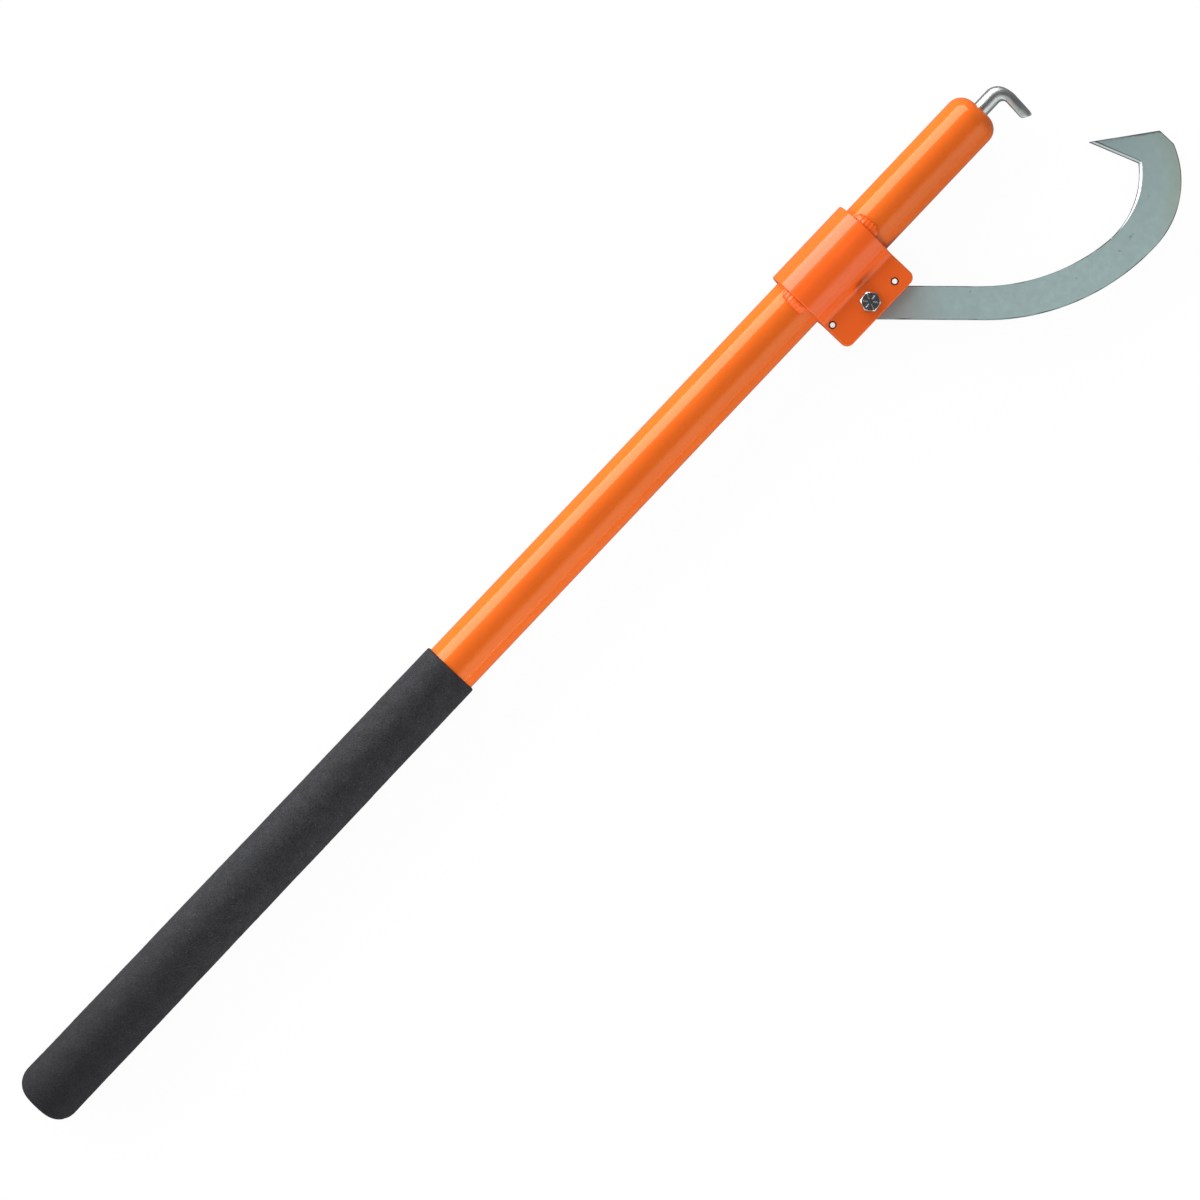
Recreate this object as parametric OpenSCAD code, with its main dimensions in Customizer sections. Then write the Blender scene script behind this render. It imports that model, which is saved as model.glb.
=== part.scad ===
// Cant hook: a steel-tube handle with a foam grip, a bent toe pick and a swinging hook.
// The origin is the centre of the grip's butt face. +X runs along the handle to the toe,
// the hook swings on the -Y side, and the head of the pivot bolt faces +Z.

/* [Handle tube] */
// Length from the butt face to the end of the nose
handle_len = 947; // [700:1:1300]
// Outside diameter of the tube
tube_d = 38.1; // [37.5:0.1:42]
// Wall of the tube
tube_wall = 2.1; // [1.5:0.1:3]
// Corner radius of the rounded nose
nose_round = 11.4; // [7:0.1:12]
// Wall of the nose cap
nose_wall = 3; // [2:0.1:3.3]
// Corner radius inside the nose cap
nose_fillet = 4; // [2:0.1:4.5]
// Length of the nose cap's spigot inside the tube
spigot_len = 14; // [12:1:30]
// Radial clearance of the spigot in the tube
spigot_clear = 0.1; // [0.05:0.01:0.2]

/* [Foam grip] */
// Length of the grip
grip_len = 416; // [200:1:500]
// Diameter of the grip where its butt begins to round
grip_butt_d = 45; // [43:0.1:52]
// Diameter of the grip at its mouth
grip_mouth_d = 42.7; // [42:0.1:48]
// Radius of the grip's rounded butt
grip_round = 15; // [8:0.5:15]
// Radius of the edge at the grip's mouth
grip_lip = 1.4; // [0.5:0.1:1.5]
// Foam between the butt face and the tube's plug
grip_end = 9.5; // [9.5:0.1:15]
// Radial clearance between the tube and the grip
grip_clear = 0.2; // [0.1:0.05:0.4]
// Thickness of the plug's head
plug_head = 2; // [1:0.1:4]
// Length of the plug's cup inside the tube
plug_len = 22; // [10:1:40]
// Wall of the plug's cup
plug_wall = 2; // [1:0.1:4]
// Radial clearance of the plug in the tube
plug_clear = 0.1; // [0.05:0.01:0.3]

/* [Bracket] */
// Distance from the end of the nose back to the pivot
pivot_set = 149; // [120:1:250]
// Distance from the tube's surface out to the pivot
pivot_drop = 17; // [15.5:0.1:22]
// Length of the bracket along the tube
bracket_len = 68; // [66:0.5:90]
// Thickness of the bracket's plate
plate_t = 5; // [3:0.1:6]
// Radial clearance between the tube and the bracket
sleeve_clear = 0.4; // [0.2:0.1:0.8]
// Outside radius of the fold between the sleeve and an ear
fold_r = 3.7; // [2:0.1:5]
// Distance from the pivot to the outer edge of the ears
ear_margin = 11.3; // [9:0.1:16]
// Corner radius of the ears
ear_corner = 5.6; // [2:0.1:8]
// Clearance between the hook and each ear
hook_side_clear = 0.4; // [0.3:0.05:0.8]

/* [Welds] */
// Length of a bead along the tube
weld_leg = 6.8; // [5.6:0.1:9]
// How far the top of a bead lies below the sleeve's surface
weld_drop = 0.6; // [0.3:0.1:1.5]
// Angle at which a bead starts, from the top of the tube towards the back
weld_back = 38; // [20:1:60]
// Angle at which a bead ends, from the top of the tube towards the hook
weld_front = 26; // [10:1:40]
// Clearance between a bead and the faces that it joins
weld_clear = 0.03; // [0.01:0.01:0.1]

/* [Hook] */
// Width of the hook's arm
arm_w = 23.2; // [20:0.1:26]
// Thickness of the hook
hook_t = 8; // [6:0.1:10]
// Angle of the closed arm from the handle
rest_angle = 47; // [40:0.5:60]
// Swing of the hook from closed to open
swing = 120; // [90:1:125]
// Length of the arm's straight outer edge
outer_start = 79; // [60:1:100]
// Radius of the outer edge's long curve
outer_r = 160; // [140:1:200]
// Turn of the outer edge's long curve
outer_turn = 47.5; // [42:0.5:52]
// Radius of the outer edge's bow
bow_r = 65.5; // [60:0.5:75]
// Turn of the outer edge's bow
bow_turn = 76; // [70:0.5:80]
// Length of the arm's straight inner edge
inner_start = 75; // [60:1:90]
// Radius of the inner edge's long curve
inner_r = 139; // [120:1:160]
// Turn of the inner edge's long curve
inner_turn = 39; // [34:0.5:42]
// Radius of the throat
throat_r = 61; // [56:0.5:64]
// Turn of the throat
throat_turn = 58; // [52:0.5:60]
// Distance of the beak's tip along the arm
tip_along = 150; // [140:0.5:160]
// Distance of the beak's tip from the arm's centre line
tip_across = 111.7; // [106:0.1:116]
// Radius of the heel between the bow and the beak's back edge
heel_round = 7; // [2:0.5:12]

/* [Bolt and pins] */
// Diameter of the pivot bolt
bolt_d = 8; // [6:0.1:10]
// Distance across the flats of the bolt's head and nut
hex_af = 13; // [12.5:0.1:16]
// Height of the bolt's head
head_h = 5.3; // [4:0.1:7]
// Turn of the bolt's head
head_turn = 7; // [0:1:60]
// Radial running clearance of the hook on the bolt
pivot_clear = 0.08; // [0.03:0.01:0.1]
// Radial clearance of the bolt in the ears
ear_clear = 0.2; // [0.1:0.05:0.4]
// Outside diameter of the washer
washer_d = 16; // [15.5:0.1:20]
// Thickness of the washer
washer_t = 1.6; // [1:0.1:2.5]
// Height of the lock nut's hexagon
nut_h = 6; // [5:0.1:8]
// Height of the lock nut's round collar
collar_h = 2.4; // [1.5:0.1:4]
// Wall of the lock nut's collar
collar_wall = 0.8; // [0.5:0.1:1.2]
// Height of the nylon ring
insert_h = 2; // [1:0.1:3]
// Length of bolt that stands out of the lock nut
bolt_proud = 1.6; // [1.1:0.1:6]
// Radial clearance of the bolt's thread
thread_clear = 0.05; // [0.02:0.01:0.1]
// Chamfer at the ends of the bolt and the toe pick's shank
end_chamfer = 1; // [0.5:0.1:1.5]
// Diameter of the stop pins
pin_d = 4.8; // [4:0.1:6]
// Radial clearance of the stop pins in the ears
pin_clear = 0.05; // [0.02:0.01:0.1]
// Gap between the arm and a stop pin at each end of the swing
stop_gap = 0.3; // [0.2:0.05:0.6]
// Distance of the upper pin along the closed arm
upper_pin_along = 16.7; // [12:0.1:20]
// Distance of the lower pin along the open arm
lower_pin_along = 26.9; // [20:0.1:27]

/* [Toe pick] */
// Diameter of the toe pick's bar
toe_d = 12; // [9:0.1:12.5]
// Distance from the end of the nose to the leg's outer face
toe_rise = 23.8; // [22:0.1:40]
// Distance of the point from the handle's axis
toe_reach = 27.7; // [22:0.1:45]
// Thickness of the leg
toe_leg_t = 7.6; // [5:0.1:9]
// How far the leg's outer face leans in at the point
toe_lean = 1.3; // [0.5:0.1:3]
// Length of the slanted end of the leg
toe_wedge = 4.4; // [2:0.1:6]
// Width of the blunt nib at the point
toe_nib = 1.8; // [1:0.1:2.5]
// Radius inside the bend
toe_corner = 4; // [2:0.1:6]
// Distance across the flats of the nut behind the nose
toe_nut_af = 19; // [17:0.1:19]
// Height of the nut behind the nose
toe_nut_h = 10; // [6:0.1:12]
// Gap between the nose cap and the nut
toe_nut_gap = 0.3; // [0.2:0.1:1]
// Length of shank that stands out behind the nut
toe_tail = 4; // [1.5:0.1:10]

/* [Hidden] */
$fn = 96;
// Length by which a cutter runs past the faces that it cuts
cut = 1;
// Share of the distance across the flats that a chamfer leaves flat
hex_flat = 0.93;
// How far a lock nut's collar lies inside its flats
collar_inset = 0.4;
// How much the toe pick's bend is wider than its bar
bend_slack = 0.2;
painted = [0.89, 0.38, 0.11];
zinc = [0.62, 0.67, 0.67];
foam = [0.16, 0.17, 0.18];
nylon = [0.85, 0.87, 0.88];

tube_r = tube_d / 2;
tube_bore_r = tube_r - tube_wall;
tube_start = grip_end + plug_head;
tube_end = handle_len - nose_round;
spigot_r = tube_bore_r - spigot_clear;

pivot_x = handle_len - pivot_set;
pivot_out = tube_r + pivot_drop;
sleeve_in = tube_r + sleeve_clear;
sleeve_out = sleeve_in + plate_t;
ear_in = hook_t / 2 + hook_side_clear;
ear_out = ear_in + plate_t;
ear_reach = pivot_out + ear_margin;
fold_x = ear_out + fold_r;
fold_y = -sqrt(pow(sleeve_out + fold_r, 2) - pow(fold_x, 2));
bracket_start = pivot_x - bracket_len / 2;
bracket_end = pivot_x + bracket_len / 2;

bolt_r = bolt_d / 2;
pin_r = pin_d / 2;
nut_base = -ear_out - washer_t;
bolt_end = nut_base - nut_h - collar_h - bolt_proud;
collar_r = hex_af / 2 - collar_inset;
insert_r = collar_r - collar_wall;

// The hook is drawn closed along +X from its pivot, with its throat on the +Y side.
arm_half = arm_w / 2;
outer_end = outer_turn - 90;
inner_end = inner_turn - 90;
outer_c = [outer_start, outer_r - arm_half];
bow_c = polar(outer_c, outer_r - bow_r, outer_end);
heel = polar(bow_c, bow_r, outer_end + bow_turn);
inner_c = [inner_start, inner_r + arm_half];
throat_c = polar(inner_c, inner_r - throat_r, inner_end);
notch_angle = inner_end + throat_turn;
notch = polar(throat_c, throat_r, notch_angle);
tip = [tip_along, tip_across];
// Direction out of the beak's back edge
beak_out = [tip[1] - heel[1], heel[0] - tip[0]] / norm(heel - tip);
// Direction along the beak's back edge to the tip
beak_along = (tip - heel) / norm(tip - heel);
// Corner of the bow's and the back edge's lines, both moved in by the heel's radius
heel_in = heel - heel_round * beak_out - bow_c;
heel_lead = heel_in * beak_along;
heel_run = -heel_lead - sqrt(pow(heel_lead, 2) - heel_in * heel_in + pow(bow_r - heel_round, 2));
heel_c = bow_c + heel_in + heel_run * beak_along;
// Angle by which neighbouring slices of the outline overlap
lap = 10;
// Share of their length by which the beak's edges are drawn past the tip
past = 0.3;

// Each stop pin lies beside the arm at one end of the swing.
stop_side = arm_half + pin_r + stop_gap;
upper_pin = at_arm(rest_angle, upper_pin_along, stop_side);
lower_pin = at_arm(rest_angle + swing, lower_pin_along, -stop_side);

toe_r = toe_d / 2;
toe_bend = toe_r + bend_slack;
toe_leg_x = toe_rise - toe_r;
toe_bend_x = toe_leg_x - toe_bend;
toe_inner_x = toe_rise - toe_leg_t;
toe_nut_x = handle_len - nose_wall - toe_nut_gap - toe_nut_h;
toe_shank_x = toe_nut_x - toe_tail;

function polar(c, r, a) = c + r * [cos(a), sin(a)];
function at_arm(angle, along, inward) =
    [pivot_x, -pivot_out] + along * [cos(angle), -sin(angle)] + inward * [sin(angle), cos(angle)];

// Stands a shape drawn along +Z up along the handle instead, starting at x.
module along_x(x) {
    translate([x, 0, 0]) rotate([0, 90, 0]) children();
}

// Slice of a disc between two angles less than half a turn apart.
module sector(c, r, from, to) {
    translate(c) intersection() {
        circle(r);
        polygon([[0, 0], for (i = [0:2]) polar([0, 0], 2 * r, from + (to - from) * i / 2)]);
    }
}

// Half of a round profile, with its outer corner at the far end rounded.
module rounded_half(r, len, corner) {
    intersection() {
        square([r, len]);
        union() {
            translate([0, -cut]) square([r, len - corner + cut]);
            square([r - corner, len]);
            translate([r - corner, len - corner]) circle(corner);
        }
    }
}

module hexagon(af) {
    circle(d = af / cos(30), $fn = 6);
}

module handle_tube() {
    color(painted) along_x(tube_start) difference() {
        cylinder(r = tube_r, h = tube_end - tube_start);
        translate([0, 0, -cut]) cylinder(r = tube_bore_r, h = tube_end - tube_start + 2 * cut);
    }
}

// Domed closure: its skirt is flush with the tube and its spigot plugs the bore.
module nose_cap() {
    color(painted) along_x(tube_end) difference() {
        union() {
            rotate_extrude() rounded_half(tube_r, nose_round, nose_round);
            translate([0, 0, -spigot_len]) cylinder(r = spigot_r, h = spigot_len + cut);
        }
        translate([0, 0, -spigot_len - cut]) rotate_extrude()
            rounded_half(spigot_r - nose_wall, spigot_len + cut + nose_round - nose_wall, nose_fillet);
        cylinder(r = toe_r + thread_clear, h = nose_round + cut);
    }
}

module toe_nut() {
    color(zinc) along_x(toe_nut_x) difference() {
        linear_extrude(toe_nut_h) hexagon(toe_nut_af);
        translate([0, 0, -cut]) cylinder(r = toe_r + thread_clear, h = toe_nut_h + 2 * cut);
    }
}

// Side view of the toe pick, from the nose's end face, with the leg pointing to -Y.
module toe_outline() {
    difference() {
        polygon([
            [toe_shank_x - handle_len - cut, toe_r + cut],
            [toe_shank_x - handle_len - cut, toe_wedge - toe_reach],
            [toe_inner_x, toe_wedge - toe_reach],
            [toe_rise - toe_lean - toe_nib, -toe_reach],
            [toe_rise - toe_lean, toe_nib - toe_reach],
            [toe_rise, -toe_r - toe_corner],
            [toe_rise + cut, toe_r + cut]
        ]);
        difference() {
            translate([toe_shank_x - handle_len - 2 * cut, -toe_reach - cut])
                square([toe_inner_x - toe_shank_x + handle_len + 2 * cut, toe_reach + cut - toe_r]);
            translate([toe_inner_x - toe_corner, -toe_r - toe_corner]) difference() {
                square(toe_corner + cut);
                circle(toe_corner);
            }
        }
    }
}

module toe_bar() {
    shank_len = handle_len + toe_bend_x - toe_shank_x;
    along_x(toe_shank_x) {
        cylinder(r1 = toe_r - end_chamfer, r2 = toe_r, h = end_chamfer);
        translate([0, 0, end_chamfer]) cylinder(r = toe_r, h = shank_len - end_chamfer);
    }
    translate([handle_len + toe_bend_x, -toe_bend, 0]) rotate_extrude(angle = 90)
        translate([toe_bend, 0]) circle(toe_r);
    translate([handle_len + toe_leg_x, -toe_bend, 0]) rotate([90, 0, 0])
        cylinder(r = toe_r, h = toe_reach);
}

module toe_pick() {
    color(zinc) intersection() {
        toe_bar();
        translate([handle_len, 0, 0]) linear_extrude(toe_d + 2 * cut, center = true) toe_outline();
    }
}

// Neck between the sleeve and the ears, where both folds have the radius r.
module fold_neck(r) {
    difference() {
        polygon([[0, 0], [-fold_x, fold_y], [fold_x, fold_y]]);
        for (side = [-1, 1]) translate([side * fold_x, fold_y]) circle(r);
    }
}

// Section of the folded plate: the sleeve round the tube and two ears towards -Y.
module bracket_section() {
    difference() {
        union() {
            circle(sleeve_out);
            translate([-ear_out, -ear_reach]) square([2 * ear_out, ear_reach]);
            fold_neck(fold_r);
        }
        circle(sleeve_in);
        translate([-ear_in, -ear_reach - cut]) square([2 * ear_in, ear_reach + cut]);
        fold_neck(fold_r + plate_t);
    }
}

// Plan of the bracket, with the ears' corners rounded.
module bracket_plan() {
    translate([bracket_start, ear_corner - ear_reach])
        square([bracket_len, ear_reach - ear_corner + sleeve_out + cut]);
    translate([bracket_start + ear_corner, -ear_reach])
        square([bracket_len - 2 * ear_corner, ear_reach]);
    for (x = [bracket_start + ear_corner, bracket_end - ear_corner])
        translate([x, ear_corner - ear_reach]) circle(ear_corner);
}

module hook_bracket() {
    color(painted) difference() {
        intersection() {
            along_x(bracket_start) linear_extrude(bracket_len) bracket_section();
            linear_extrude(2 * sleeve_out + 2 * cut, center = true) bracket_plan();
        }
        translate([pivot_x, -pivot_out, 0])
            cylinder(r = bolt_r + ear_clear, h = 2 * ear_out + 2 * cut, center = true);
        for (pin = [upper_pin, lower_pin]) translate(pin)
            cylinder(r = pin_r + pin_clear, h = 2 * ear_out + 2 * cut, center = true);
    }
}

// Round fillet bead from the tube up to just below the sleeve's surface.
module bead_section() {
    rise = sleeve_out - weld_drop - tube_r - weld_clear;
    sink = (weld_leg * weld_leg - rise * rise) / (2 * rise);
    translate([tube_r + weld_clear, 0]) intersection() {
        square([rise, weld_leg]);
        translate([-sink, 0]) circle(rise + sink);
    }
}

// One bead in front and one behind, rising along +X from x.
module weld_pair(x) {
    for (back = [0, 1]) mirror([0, 0, back]) along_x(x)
        rotate([0, 0, 180 - weld_back]) rotate_extrude(angle = weld_back + weld_front) bead_section();
}

module upper_weld() {
    color(painted) weld_pair(bracket_end + weld_clear);
}

module lower_weld() {
    color(painted) translate([bracket_start - weld_clear, 0, 0]) mirror([1, 0, 0]) weld_pair(0);
}

// Round tail, arm and bow, with the bow running on behind the beak.
module bow_blank() {
    circle(arm_half);
    translate([0, -arm_half]) square([outer_start, 2 * arm_w]);
    sector(outer_c, outer_r, -90 - lap, outer_end);
    sector(bow_c, bow_r, outer_end - lap, outer_end + bow_turn + lap);
}

// Space inside the hook, running on into the beak.
module throat_space() {
    translate([-arm_w, arm_half]) square([inner_start + arm_w, inner_r]);
    sector(inner_c, inner_r, -90 - lap, inner_end);
    sector(throat_c, throat_r, inner_end - lap, notch_angle + lap);
    polygon([
        outer_c + [-arm_w, arm_w],
        polar(inner_c, inner_r / 2, lap - 90),
        polar(throat_c, throat_r / 2, notch_angle - lap),
        polar(throat_c, throat_r * 0.9, notch_angle + lap / 2),
        (tip + notch + heel) / 3
    ]);
}

// Beak with a straight inner edge, running on past its back edge.
module beak() {
    polygon([
        tip + past * (tip - notch),
        notch + past * (notch - tip),
        heel + past * (notch - heel),
        (tip + heel) / 2 + arm_w * beak_out
    ]);
}

// Everything behind the beak's straight back edge.
module beak_back() {
    polygon([
        heel + past * (heel - tip),
        heel + past * (heel - tip) + 2 * arm_w * beak_out,
        tip + past * (tip - heel) + 2 * arm_w * beak_out,
        tip + past * (tip - heel)
    ]);
}

// What lies outside the rounded heel.
module heel_waste() {
    difference() {
        polygon([
            heel_c,
            bow_c + bow_r * (heel_c - bow_c) / norm(heel_c - bow_c),
            2 * heel - heel_c,
            heel + heel_run * beak_along
        ]);
        translate(heel_c) circle(heel_round);
    }
}

// Flat outline of the hook.
module hook_plan() {
    difference() {
        union() {
            difference() {
                bow_blank();
                throat_space();
            }
            beak();
        }
        beak_back();
        heel_waste();
    }
}

module hook() {
    color(zinc) translate([pivot_x, -pivot_out, 0]) rotate([0, 0, -rest_angle]) difference() {
        linear_extrude(hook_t, center = true) hook_plan();
        cylinder(r = bolt_r + pivot_clear, h = hook_t + 2 * cut, center = true);
    }
}

// Hexagon whose far face is chamfered round.
module chamfered_hex(af, h) {
    wide = af / cos(30) + cut;
    flat = hex_flat * af;
    slope_h = (wide - flat) / 2 * tan(30);
    intersection() {
        linear_extrude(h) hexagon(af);
        union() {
            cylinder(d = wide, h = h - slope_h);
            translate([0, 0, h - slope_h]) cylinder(d1 = wide, d2 = flat, h = slope_h);
        }
    }
}

module pivot_bolt() {
    color(zinc) translate([pivot_x, -pivot_out, 0]) {
        translate([0, 0, ear_out]) rotate([0, 0, head_turn]) chamfered_hex(hex_af, head_h);
        translate([0, 0, bolt_end + end_chamfer]) cylinder(r = bolt_r, h = ear_out - bolt_end);
        translate([0, 0, bolt_end])
            cylinder(r1 = bolt_r - end_chamfer, r2 = bolt_r, h = end_chamfer);
    }
}

module nut_washer() {
    color(zinc) translate([pivot_x, -pivot_out, nut_base]) difference() {
        cylinder(d = washer_d, h = washer_t);
        translate([0, 0, -cut]) cylinder(r = bolt_r + ear_clear, h = washer_t + 2 * cut);
    }
}

module lock_nut() {
    color(zinc) translate([pivot_x, -pivot_out, nut_base]) mirror([0, 0, 1]) difference() {
        union() {
            chamfered_hex(hex_af, nut_h);
            cylinder(r = collar_r, h = nut_h + collar_h);
        }
        translate([0, 0, -cut]) cylinder(r = bolt_r + thread_clear, h = nut_h + collar_h + 2 * cut);
        translate([0, 0, nut_h + collar_h - insert_h]) cylinder(r = insert_r, h = insert_h + cut);
    }
}

module nut_insert() {
    color(nylon) translate([pivot_x, -pivot_out, nut_base - nut_h - collar_h]) difference() {
        cylinder(r = insert_r - thread_clear, h = insert_h - thread_clear);
        translate([0, 0, -cut]) cylinder(r = bolt_r + thread_clear, h = insert_h + 2 * cut);
    }
}

module stop_pin(place) {
    color(zinc) translate(place) cylinder(r = pin_r, h = 2 * ear_out, center = true);
}

module upper_stop_pin() {
    stop_pin(upper_pin);
}

module lower_stop_pin() {
    stop_pin(lower_pin);
}

// Tapered foam sleeve with a closed, rounded butt and a softened mouth.
module foam_grip() {
    color(foam) along_x(0) difference() {
        rotate_extrude() {
            translate([0, grip_round]) mirror([0, 1])
                rounded_half(grip_butt_d / 2, grip_round, grip_round);
            polygon([
                [0, grip_round],
                [grip_butt_d / 2, grip_round],
                [grip_mouth_d / 2, grip_len - grip_lip],
                [grip_mouth_d / 2 - grip_lip, grip_len],
                [0, grip_len]
            ]);
        }
        translate([0, 0, grip_end]) cylinder(r = tube_r + grip_clear, h = grip_len);
    }
}

module tube_plug() {
    color(foam) along_x(grip_end) difference() {
        union() {
            cylinder(r = tube_r, h = plug_head);
            cylinder(r = tube_bore_r - plug_clear, h = plug_head + plug_len);
        }
        translate([0, 0, plug_head])
            cylinder(r = tube_bore_r - plug_clear - plug_wall, h = plug_len + cut);
    }
}

handle_tube();
nose_cap();
toe_nut();
toe_pick();
hook_bracket();
upper_weld();
lower_weld();
hook();
pivot_bolt();
nut_washer();
lock_nut();
nut_insert();
upper_stop_pin();
lower_stop_pin();
foam_grip();
tube_plug();
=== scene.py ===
"""Looks of a cant hook: painted tube and bracket, zinc-plated hook and fittings, foam grip.

Lengths are in metres, in the part's own frame: the handle runs along +X from the butt face at
the origin, the hook swings on the -Y side, and the bolt's head faces +Z.
"""

from math import atan2, cos, hypot, pi, radians, sin, tan

import bmesh
import bpy
from mathutils import Euler, Matrix, Vector, noise


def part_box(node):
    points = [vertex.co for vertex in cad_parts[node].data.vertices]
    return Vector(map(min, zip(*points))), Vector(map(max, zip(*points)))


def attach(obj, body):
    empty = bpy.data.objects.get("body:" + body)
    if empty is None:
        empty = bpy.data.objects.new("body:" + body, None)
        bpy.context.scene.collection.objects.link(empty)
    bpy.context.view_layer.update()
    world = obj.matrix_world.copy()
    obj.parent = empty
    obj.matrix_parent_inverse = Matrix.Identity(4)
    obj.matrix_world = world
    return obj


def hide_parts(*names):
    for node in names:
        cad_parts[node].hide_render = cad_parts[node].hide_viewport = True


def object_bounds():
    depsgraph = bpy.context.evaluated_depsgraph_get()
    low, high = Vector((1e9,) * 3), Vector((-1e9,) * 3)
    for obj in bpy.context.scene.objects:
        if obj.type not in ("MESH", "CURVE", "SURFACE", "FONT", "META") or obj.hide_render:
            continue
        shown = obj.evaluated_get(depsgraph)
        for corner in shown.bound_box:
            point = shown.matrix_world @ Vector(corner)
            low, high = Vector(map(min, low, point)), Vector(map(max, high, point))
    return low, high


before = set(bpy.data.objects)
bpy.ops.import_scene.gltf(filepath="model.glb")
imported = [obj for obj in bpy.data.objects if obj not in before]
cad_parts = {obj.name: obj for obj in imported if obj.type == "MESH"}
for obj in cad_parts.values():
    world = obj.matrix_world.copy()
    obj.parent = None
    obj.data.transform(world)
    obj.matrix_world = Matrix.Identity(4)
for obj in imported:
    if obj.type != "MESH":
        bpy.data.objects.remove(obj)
cad_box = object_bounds()

MM = 0.001

# Tolerances
SAME_POINT = 1e-7
SAME_CAD_POINT = 1e-6
NEAR = 0.01 * MM
ON_LINE = 0.1 * MM
FLAT = radians(0.4)
SHARP = radians(30)
FACES_Z = 0.9
FACES_SIDEWAYS = 0.1

# Rounded edges
EDGE_STEPS = 2
FINE_EDGE_STEPS = 3
FASTENER_EDGE = 0.2 * MM
WELD_NUT_EDGE = 0.3 * MM
RING_EDGE = 0.15 * MM
PLUG_EDGE = 0.3 * MM

# Handle tube
TUBE_R = 19.05 * MM
TUBE_BORE_R = 16.95 * MM
TUBE_START = 11.5 * MM
TUBE_STEPS = 128
NOSE_END = 947 * MM
NOSE_ROUND = 11.4 * MM
NOSE_STEPS = 16
NOSE_WALL = 3 * MM
TOE_HOLE_R = 6.05 * MM
TOE_HOLE_EDGE = 0.6 * MM

# Foam grip
GRIP_LEN = 416 * MM
GRIP_BUTT_R = 22.5 * MM
GRIP_MOUTH_R = 21.35 * MM
GRIP_BORE_R = 19.25 * MM
GRIP_END = 9.5 * MM
GRIP_ROUND = 15 * MM
GRIP_ROUND_STEPS = 14
GRIP_LIP = 1.5 * MM
GRIP_LIP_STEPS = 4
GRIP_BORE_EDGE = 0.4 * MM
GRIP_RING = 1.5 * MM
GRIP_STEPS = 112
FOAM_SWELL = 0.16 * MM
FOAM_SWELL_SIZE = 30 * MM
FOAM_CELL = 0.09 * MM
FOAM_CELL_SIZE = 2.6 * MM

# Bracket: section in the plane across the handle, folded from one plate
BRACKET_START = 764 * MM
BRACKET_LEN = 68 * MM
BRACKET_END = BRACKET_START + BRACKET_LEN
BRACKET_EDGE = 0.9 * MM
PLATE_T = 5 * MM
SLEEVE_STEPS = 96
FOLD_Y = -26.55 * MM
FOLD_Z = 15.9 * MM
FOLD_STEPS = 14
EAR_OUT = 9.4 * MM
EAR_REACH = 47.35 * MM
EAR_CORNER = 5.6 * MM
EAR_CORNER_STEPS = 10
HOLE_STEPS = 48
DRILL_LEN = 4 * EAR_OUT
BOLT_HOLE_R = 4.2 * MM

# Stop pins
PIN_HOLE_R = 2.8 * MM
PIN_R = 2.75 * MM
PIN_NECK_R = 1.9 * MM
PIN_NECK = 1.2 * MM
PIN_SINK = 0.4 * MM
PIN_SHOULDER = 0.2 * MM
PIN_EDGE = 0.5 * MM

# Weld beads; the crown's corners are shares of the leg and of the rise
WELD_LEG = 6.9 * MM
WELD_RISE = 4.6 * MM
WELD_CROWN = ((0.92, 0.26), (0.72, 0.58), (0.40, 0.85))
WELD_SINK = 0.4 * MM
WELD_BACK = radians(38)
WELD_FRONT = radians(26)
WELD_FULL = 0.93
WELD_BLUNT = 8
WELD_RIPPLES = 8
WELD_RIPPLE = 0.018
WELD_SLANT = 1.9
WELD_LUMP = 0.15
WELD_LUMP_SIZE = 7 * MM
WELD_STEPS = 84

# Hook, in its own frame: u along the closed arm from the pivot, v towards the throat
PIVOT = Vector((798 * MM, -36.05 * MM, 0))
REST_ANGLE = radians(47)
HOOK_T = 8 * MM
HOOK_EDGE = 0.6 * MM
THROAT_R = 61 * MM
THROAT_CENTRE = (124.087 * MM, 89.983 * MM)
NOTCH_ANGLE = radians(7)
BEAK_TIP = (150 * MM, 111.7 * MM)
BEAK_BACK = (203.29 * MM, 120.71 * MM)
BACK_CUTS = 11
HEEL_X = 1021.4 * MM
RIM_RISE = 3.5 * MM

# Ground bevel of the hook: it fades in along the throat, and shines less on the beak
GROUND_EDGE = 2 * MM
GROUND_FROM = radians(-48)
GROUND_FULL = radians(-12)
GROUND_LEAST = 0.06
FADE_REACH = GROUND_EDGE + 0.2 * MM
STRIP_REACH = GROUND_EDGE + 0.3 * MM
BEAK_FROM = 0.05
BEAK_SHINE = 0.35

# How far a place may lie past the ends of a line, as a share of it or in radians
GROUND_SLACK = 0.01
BEAK_SLACK = 0.05
BACK_SLACK = 0.1

# How dark the painted shade on the hook's rims is, from 0 to 1, and how far in from each edge
RIM_SHADE_BACK = 0.9
RIM_SHADE_BACK_MIDDLE = 0.5
RIM_SHADE_ELSEWHERE = 0.6
BACK_MIDDLE = (0.3, 0.55)
RIM_SHADE_BACK_IN = 0.9 * MM
RIM_SHADE_HEEL_IN = 1.5 * MM
RIM_SHADE_BEAK_IN = GROUND_EDGE + 0.5 * MM
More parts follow.
